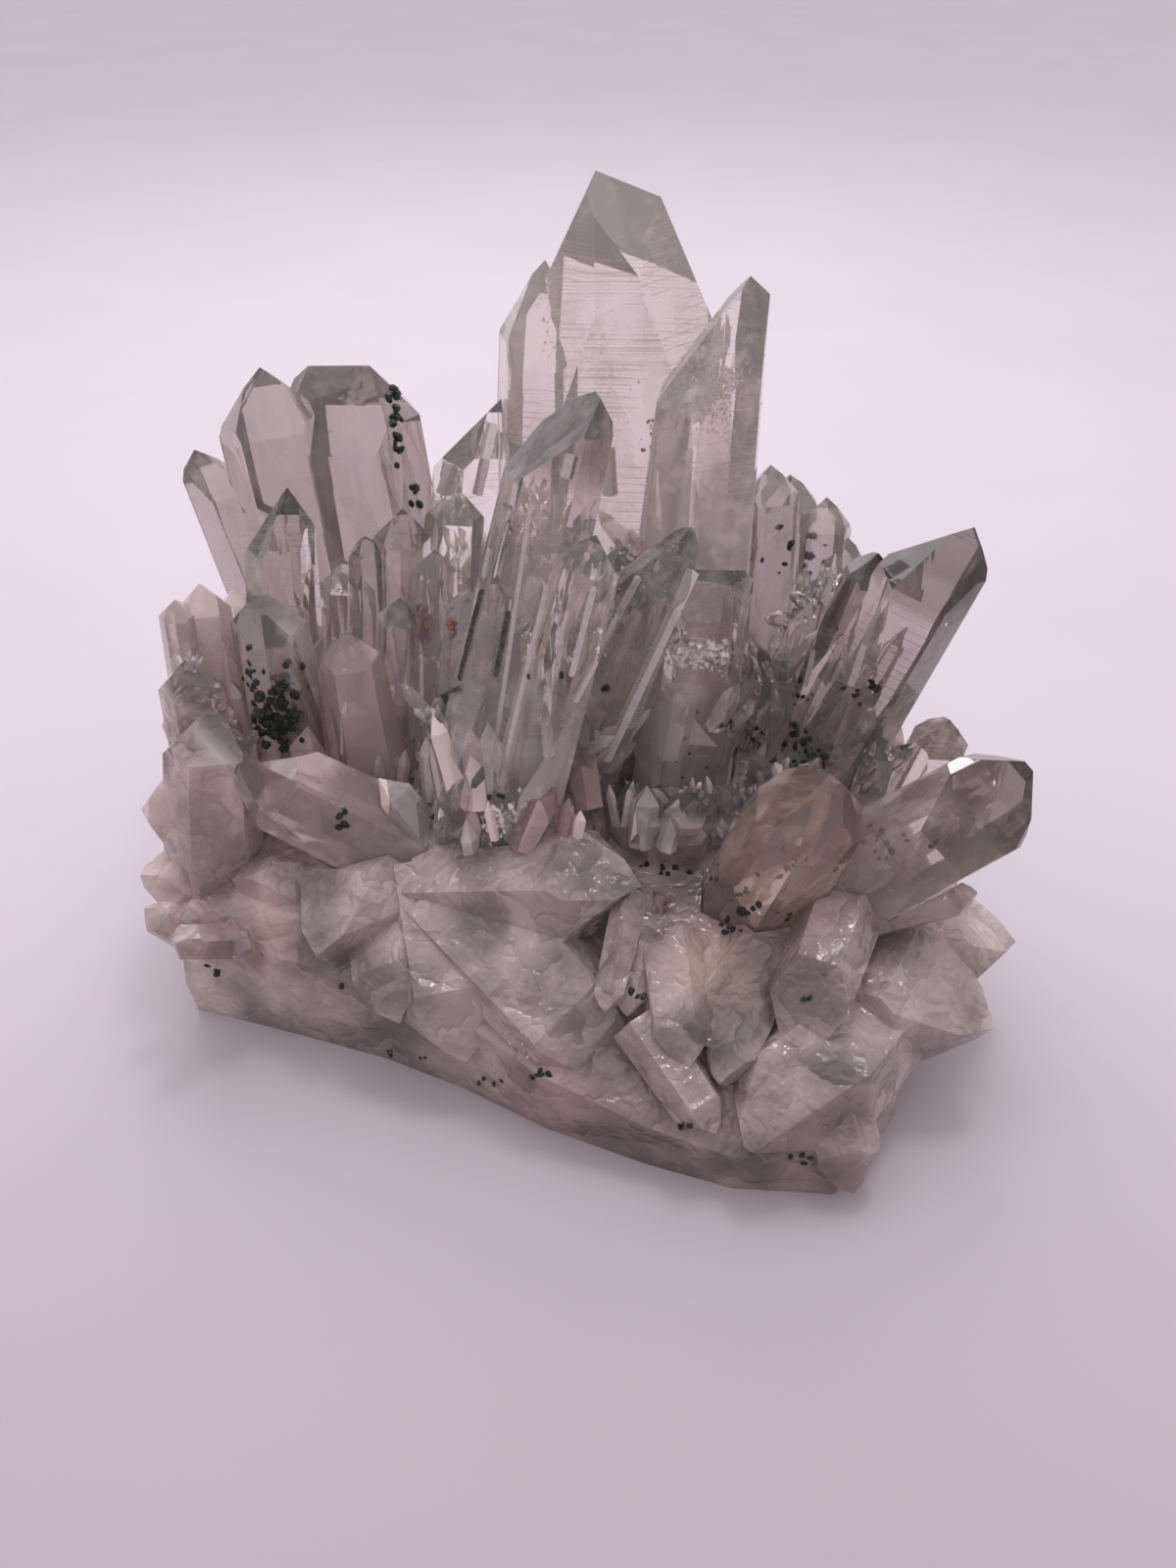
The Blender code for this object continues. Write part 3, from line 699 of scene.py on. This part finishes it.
def placing_tree():
    """Geometry nodes that put a shape on every vertex, turned and stretched as the vertex says."""
    tree = bpy.data.node_groups.new("place_shapes", "GeometryNodeTree")
    sockets = {"Geometry": "Geometry", "Shape": "Object", "Size": "Float", "Finish": "Material"}
    for label, kind in sockets.items():
        tree.interface.new_socket(label, in_out="INPUT", socket_type="NodeSocket" + kind)
    tree.interface.new_socket("Geometry", in_out="OUTPUT", socket_type="NodeSocketGeometry")
    given = add(tree, "NodeGroupInput").outputs
    shape = add(tree, "GeometryNodeObjectInfo", {"Object": given["Shape"]}).outputs["Geometry"]
    turn, stretch = (
        add(tree, "GeometryNodeInputNamedAttribute", {"Name": label}, data_type="FLOAT_VECTOR").outputs[0]
        for label in ("turn", "stretch")
    )
    sizes = {0: stretch, "Scale": given["Size"]}
    scale = add(tree, "ShaderNodeVectorMath", sizes, operation="SCALE").outputs[0]
    inputs = {"Points": given["Geometry"], "Instance": shape, "Rotation": turn, "Scale": scale}
    placed = add(tree, "GeometryNodeInstanceOnPoints", inputs).outputs[0]
    real = add(tree, "GeometryNodeRealizeInstances", {0: placed}).outputs[0]
    done = add(tree, "GeometryNodeSetMaterial", {"Geometry": real, "Material": given["Finish"]}).outputs[0]
    add(tree, "NodeGroupOutput", {0: done})
    return tree


PLACING = placing_tree()


def place_shapes(name, shape, places, finish):
    """One piece made of a shape repeated at (spot, turn, stretch), with stretch in millimetres.
    """
    bed = shape_object(name + "_bed", [spot for spot, _, _ in places], [])
    for label, values in (("turn", [t for _, t, _ in places]), ("stretch", [s for _, _, s in places])):
        attribute = bed.data.attributes.new(label, "FLOAT_VECTOR", "POINT")
        attribute.data.foreach_set("vector", [number for value in values for number in value])
    modifier = bed.modifiers.new("place", "NODES")
    modifier.node_group = PLACING
    keys = {item.name: item.identifier for item in PLACING.interface.items_tree if item.in_out == "INPUT"}
    modifier[keys["Shape"]] = shape
    modifier[keys["Size"]] = MM
    modifier[keys["Finish"]] = finish
    bpy.context.view_layer.update()
    mesh = bpy.data.meshes.new_from_object(bed.evaluated_get(bpy.context.evaluated_depsgraph_get()))
    mesh.name = name
    bpy.data.objects.remove(bed)
    piece = put_in_scene(name, mesh)
    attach(piece, "root")


def random_turn(dice):
    """Any turn in space."""
    return tuple(dice.uniform(0.0, math.tau) for _ in range(3))


def random_sway(dice, most):
    """A small step aside, at most that far along each axis."""
    return Vector([dice.uniform(-most, most) for _ in range(3)])


def clot_places(clots, seed, flat=(0.4, 0.8), bunched=0.6, narrowest=0.6):
    """Places for all small bodies of some clots, each on or in the quartz seen at its clot's pixel.

    A body's thickness is a share of its width between the two in flat, and its other width is at least
    narrowest of it. bunched is how closely a clot is gathered within its spread.
    """
    dice = random.Random(seed)
    places = []
    for clot in clots:
        found = first_surface(*clot.pixel)
        for _ in range(clot.count):
            column = dice.gauss(clot.pixel[0], bunched * clot.spread[0])
            row = dice.gauss(clot.pixel[1], bunched * clot.spread[1])
            width = dice.uniform(*clot.widths)
            share = dice.uniform(*clot.depth)
            turn = random_turn(dice)
            stretch = (width, width * dice.uniform(narrowest, 1.0), width * dice.uniform(*flat))
            through = pierce(found[0], column, row) if found else None
            if through:
                places.append((through[0].lerp(through[1], share), turn, stretch))
    return places


def face_spots(name, dice, count):
    """Spots scattered evenly over a node's surface, with the surface's direction at each."""
    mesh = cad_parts[name].data
    mesh.calc_loop_triangles()
    triangles = list(mesh.loop_triangles)
    for triangle in dice.choices(triangles, [t.area for t in triangles], k=count):
        first, second = sorted((dice.random(), dice.random()))
        a, b, c = (mesh.vertices[i].co for i in triangle.vertices)
        yield a * first + b * (second - first) + c * (1.0 - second), triangle.normal.copy()


def stands_clear(spot, way, width, length, others, shares):
    """Whether a small crystal keeps clear of other crystals and stays inside the CAD model's box."""
    tip = spot + way * length
    if any(not cad_box[0][k] + BOX_MARGIN < tip[k] < cad_box[1][k] - BOX_MARGIN for k in range(3)):
        return False
    for surface in others:
        for share in shares:
            middle = spot + way * length * share
            near, normal, _, away = surface.find_nearest(middle)
            if away < ROOM * width or (middle - near).dot(normal) < 0.0:
                return False
    return True


def grown_place(spot, way, width, length, dice, narrowest=0.75):
    """One small crystal, its foot sunk a little into what it grows from."""
    spin = Matrix.Rotation(dice.uniform(0.0, math.tau), 3, "Z")
    turn = (way.to_track_quat("Z", "Y").to_matrix() @ spin).to_euler()
    stretch = (width / MM, dice.uniform(narrowest, 1.0) * width / MM, length / MM)
    return spot - way * SUNK * length, tuple(turn), stretch


def druse_places(seed, count, widths, slimness, tries=60, lowest=21.0, rise=0.1, outward=0.6, upward=0.7):
    """Places for small crystals on the bare top of the root mass, clear of the larger ones.

    For each crystal that many spots are tried. They lie above the lowest height in millimetres and behind the
    front edge, on faces that look up by at least the rise. A crystal leans outward from its face and upward.
    """
    dice = random.Random(seed)
    others = [surface for name, surface in SURFACES.items() if name != "root_mass"]
    places = []
    for spot, normal in face_spots("root_mass", dice, tries * count):
        width = dice.uniform(*widths) * MM
        length = width * dice.uniform(*slimness)
        sway = random_sway(dice, 0.45)
        way = (normal * outward + Vector((0, 0, upward)) + sway).normalized()
        if len(places) == count or spot.z < lowest * MM or normal.z < rise or spot.y < FRONT_EDGE * MM:
            continue
        if stands_clear(spot, way, width, length, others, shares=(0.1, 0.5, 1.0)):
            places.append(grown_place(spot, way, width, length, dice))
    return places


def side_shoots(seed, hosts, spacing, widths, slimness, heights, outward=(0.12, 0.4), most_rise=0.3):
    """Places for slim crystals that grew up along the lower sides of the large ones.

    One spot is tried for each square as wide as the spacing. It lies between the two heights, both in
    millimetres, and on a face that hardly looks along the crystal. A shoot leans a little outward.
    """
    dice = random.Random(seed)
    places = []
    for host in hosts:
        along = growth_direction(host)
        area = sum(face.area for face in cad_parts[host].data.polygons)
        for spot, normal in face_spots(host, dice, int(area / (spacing * MM) ** 2)):
            width = dice.uniform(*widths) * MM
            length = width * dice.uniform(*slimness)
            sway = random_sway(dice, 0.16)
            way = (along + normal * dice.uniform(*outward) + sway).normalized()
            if not heights[0] * MM < spot.z < heights[1] * MM or normal.dot(along) > most_rise:
                continue
            if stands_clear(spot, way, width, length, SURFACES.values(), shares=(0.6, 1.0)):
                places.append(grown_place(spot, way, width, length, dice))
    return places


def sprout_places(sprouts, seed):
    """Places for small crystals, each with its foot on the quartz seen at a pixel and its tip at another."""
    dice = random.Random(seed)
    looking = camera_ray(PICTURE_WIDTH / 2, PICTURE_HEIGHT / 2)[1]
    places = []
    for sprout in sprouts:
        found = first_surface(*sprout.foot)
        if not found:
            continue
        start, way = camera_ray(*sprout.tip)
        depth = (found[1] - start).dot(looking) - sprout.lean * MM
        reach = start + way * (depth / way.dot(looking)) - found[1]
        length = (1.0 + SUNK) * reach.length
        places.append(grown_place(found[1], reach.normalized(), sprout.width * MM, length, dice))
    return places


def strip_places(strips, piece=45.0, thickness=0.12, overlap=1.04, longest=3.0):
    """Places for narrow strips of painted highlight or painted shadow, in pieces of about that many pixels
    that each lie on the crystal seen there.

    A piece is a little longer than its share, so that it meets the next. One that comes out longer than that
    many times its share runs over a gap, and is left out.
    """
    places = []
    for strip in strips:
        top, foot = Vector(strip.top), Vector(strip.foot)
        count = max(1, round((foot - top).length / piece))
        for k in range(count):
            ends = [top.lerp(foot, (k + share) / count) for share in (0.0, 0.5, 1.0)]
            found = first_surface(*ends[1])
            hits = [pierce(found[0], *end) for end in ends] if found else [None]
            if None in hits:
                continue
            first, middle, last = (hit[0] for hit in hits)
            along = (last - first).normalized()
            outward = (Vector(CAMERA_PLACE) - middle).normalized()
            across = outward.cross(along).normalized()
            turn = Matrix((along, across, along.cross(across))).transposed().to_euler()
            length = overlap * (last - first).length / MM
            if length < longest * piece * PIXEL_WIDTH:
                places.append(((first + last) / 2, tuple(turn), (length, strip.width, thickness)))
    return places


def crystal_shape(shoulder=0.72, taper=0.92, tip=(0.06, 0.03, 1.0)):
    """A six-sided point one unit wide and one unit long, standing on the origin.

    Its sides end at the shoulder's height, narrower by the taper, and its end faces meet in the tip.
    """
    ring = [Vector((math.cos(math.tau * k / 6), math.sin(math.tau * k / 6), 0)) * 0.5 for k in range(6)]
    vertices = ring + [corner * taper + Vector((0, 0, shoulder)) for corner in ring] + [Vector(tip)]
    faces = [tuple(reversed(range(6)))]
    for k in range(6):
        after = (k + 1) % 6
        faces.append((k, after, 6 + after, 6 + k))
        faces.append((6 + k, 6 + after, 12))
    return shape_object("crystal_shape", vertices, faces)


def strip_shape(shoulder=0.46):
    """A plate one unit long, wide and thick, pointed at both ends from its shoulders on."""
    half = [(0.5, 0), (shoulder, 0.5), (-shoulder, 0.5)]
    ring = half + [(-x, -y) for x, y in half]
    vertices = [(x, y, z) for z in (-0.5, 0.5) for x, y in ring]
    faces = [tuple(reversed(range(6))), tuple(range(6, 12))]
    faces += [(k, (k + 1) % 6, 6 + (k + 1) % 6, 6 + k) for k in range(6)]
    return shape_object("strip_shape", vertices, faces)


def flake_shape():
    """A thin flat-faced flake one unit wide."""
    vertices = [(0.5, 0, 0), (0, 0.4, 0), (-0.5, 0.1, 0), (-0.1, -0.4, 0), (0, 0, 0.5), (0, 0, -0.5)]
    faces = []
    for k in range(4):
        after = (k + 1) % 4
        faces.append((k, after, 4))
        faces.append((after, k, 5))
    return shape_object("flake_shape", vertices, faces)


def pale_floor(half=4.0):
    """A plain surface that runs out of the picture on every side, with a painted shade that makes it darker
    towards the front.
    """
    corners = [(-half, -half, 0), (half, -half, 0), (half, half, 0), (-half, half, 0)]
    floor = shape_object("floor", corners, [(0, 1, 2, 3)])
    material, tree, shader, spot = new_finish("pale_floor")
    soft = fade(tree, cloud(tree, spot, size=60.0), start=0.3, end=0.7)
    plain = blend(tree, soft, FLOOR, [0.97 * c for c in FLOOR])
    depth = add(tree, "ShaderNodeSeparateXYZ", {0: spot}).outputs["Y"]
    # A painted shade: the floor darker towards the front, where less light falls
    front = blend(tree, fade(tree, depth, start=-130.0, end=20.0), FLOOR_FRONT_SHADE, plain)
    fill(tree, shader, {"Base Color": front, "Roughness": 0.6})
    floor.data.materials.append(material)


def soft_light(name, place, aim, size, power, colour):
    """A square soft light at a place, turned to what it lights."""
    lamp = bpy.data.lights.new(name, "AREA")
    lamp.size = size
    lamp.energy = power
    lamp.color = colour
    body = put_in_scene(name, lamp)
    body.location = place
    body.rotation_euler = (Vector(aim) - Vector(place)).to_track_quat("-Z", "Y").to_euler()


def studio():
    """Light from above and behind, a darker room in front, and the camera."""
    world = bpy.data.worlds.new("room")
    bpy.context.scene.world = world
    world.use_nodes = True
    tree = world.node_tree
    way = add(tree, "ShaderNodeTexCoord").outputs["Generated"]
    parts = add(tree, "ShaderNodeSeparateXYZ", {0: way}).outputs
    depth = fade(tree, parts["Y"], start=-0.7, end=0.7)
    walls = blend(tree, depth, ROOM_FRONT, ROOM_BACK)
    room = blend(tree, fade(tree, parts["Z"], start=0.3, end=0.9), walls, ROOM_TOP)
    fill(tree, tree.nodes["Background"], {"Color": room})
    soft_light("ceiling", (-0.05, 0.30, 0.45), aim=(0, 0.08, 0), size=0.4, power=1.2, colour=CEILING_LIGHT)
    soft_light("lamp", (0.08, 0.12, 0.60), aim=(0, 0, 0.04), size=0.10, power=0.5, colour=LAMP_LIGHT)
    lens = bpy.data.cameras.new("camera")
    lens.lens = CAMERA_LENS
    lens.sensor_width = SENSOR_SIZE
    lens.clip_start = CAMERA_NEAR
    bpy.context.scene.view_settings.view_transform = "Standard"
    camera = put_in_scene("camera", lens)
    camera.location = CAMERA_PLACE
    camera.rotation_euler = (math.radians(90.0 - CAMERA_PITCH), 0.0, 0.0)
    bpy.context.scene.camera = camera


def dress(name, material):
    """Gives a CAD node its finish."""
    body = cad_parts[name]
    body.data.materials.clear()
    body.data.materials.append(material)


milky = milky_quartz()
for node_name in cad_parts:
    if node_name == "root_mass":
        dress(node_name, milky)
    else:
        grown = growth_direction(node_name)
        farthest = max(vertex.co.dot(grown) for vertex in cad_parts[node_name].data.vertices) / MM
        look = LOOKS.get(node_name, Clarity())
        dress(node_name, clear_quartz(node_name + "_quartz", grown, look, farthest))

grain = grain_shape()
flake = flake_shape()
crystal = crystal_shape()
dark = grain_finish("dark_mineral", SOOT, [2.2 * c for c in SOOT], roughness=0.6)
rust = grain_finish("rust", RUST, [0.5 * c for c in RUST], roughness=0.5)
amber = grain_finish("amber_stain", AMBER, [1.4 * c for c in AMBER], roughness=0.4, see_through=0.5)
# White flakes: real fractures, and painted glints
bright = grain_finish("fracture_and_glint_white", FRACTURE_AND_GLINT, FROST, roughness=0.25, mirror=0.3)
phantom = grain_finish("phantom_specks", TAN, FROST, roughness=0.5)
glints = clot_places(FRACTURE_AND_GLINT_CLOTS, seed=24, flat=(0.05, 0.2))
place_shapes("dark_grains", grain, clot_places(DARK_CLOTS, seed=21), dark)
place_shapes("rust_flakes", flake, clot_places(RUST_CLOTS, seed=22, flat=(0.2, 0.5)), rust)
place_shapes("amber_flakes", flake, clot_places(AMBER_CLOTS, seed=23, flat=(0.2, 0.5)), amber)
place_shapes("fracture_flakes", flake, glints, bright)
place_shapes("phantom_specks", flake, clot_places(PHANTOM_CLOTS, seed=25, flat=(0.3, 0.8)), phantom)

druse = clear_quartz("druse_quartz", UP, Clarity(root_haze=0.40, tip_haze=0.10, lines=0.0))
small = druse_places(seed=31, count=500, widths=(0.7, 1.8), slimness=(1.6, 3.0))
larger = druse_places(seed=32, count=90, widths=(1.8, 3.4), slimness=(2.2, 4.2))
shoots = side_shoots(
    seed=33, hosts=SHOOT_HOSTS, spacing=6.0, widths=(1.2, 3.4), slimness=(2.5, 5.5), heights=(26.0, 46.0)
)
place_shapes("druse_points", crystal, small, druse)
place_shapes("satellite_points", crystal, larger, druse)
place_shapes("side_shoots", crystal, shoots, druse)
pale = clear_quartz("pale_quartz", UP, Clarity(root_haze=0.65, tip_haze=0.3, lines=0.0))
place_shapes("clear_sprouts", crystal, sprout_places(CLEAR_SPROUTS, seed=34), pale)
rosy = clear_quartz("rosy_quartz", UP, Clarity(tint=ROSY, tip_haze=0.15, lines=0.3))
place_shapes("rosy_sprouts", crystal, sprout_places(ROSY_SPROUTS, seed=35), rosy)

plate = strip_shape()
# Painted highlights and painted shadows, as narrow strips on the large crystals
highlight_finish = grain_finish("painted_highlight", PAINTED_HIGHLIGHT, FROST, roughness=0.2, see_through=0.3)
shadow_finish = grain_finish("painted_shadow", PAINTED_SHADOW, PAINTED_SHADOW_EDGE, roughness=0.3)
place_shapes("bright_faces", plate, strip_places(HIGHLIGHT_STRIPS), highlight_finish)
place_shapes("dark_seams", plate, strip_places(SHADOW_STRIPS, piece=90.0), shadow_finish)
for helper in (grain, flake, crystal, plate):
    bpy.data.objects.remove(helper)

pale_floor()
studio()
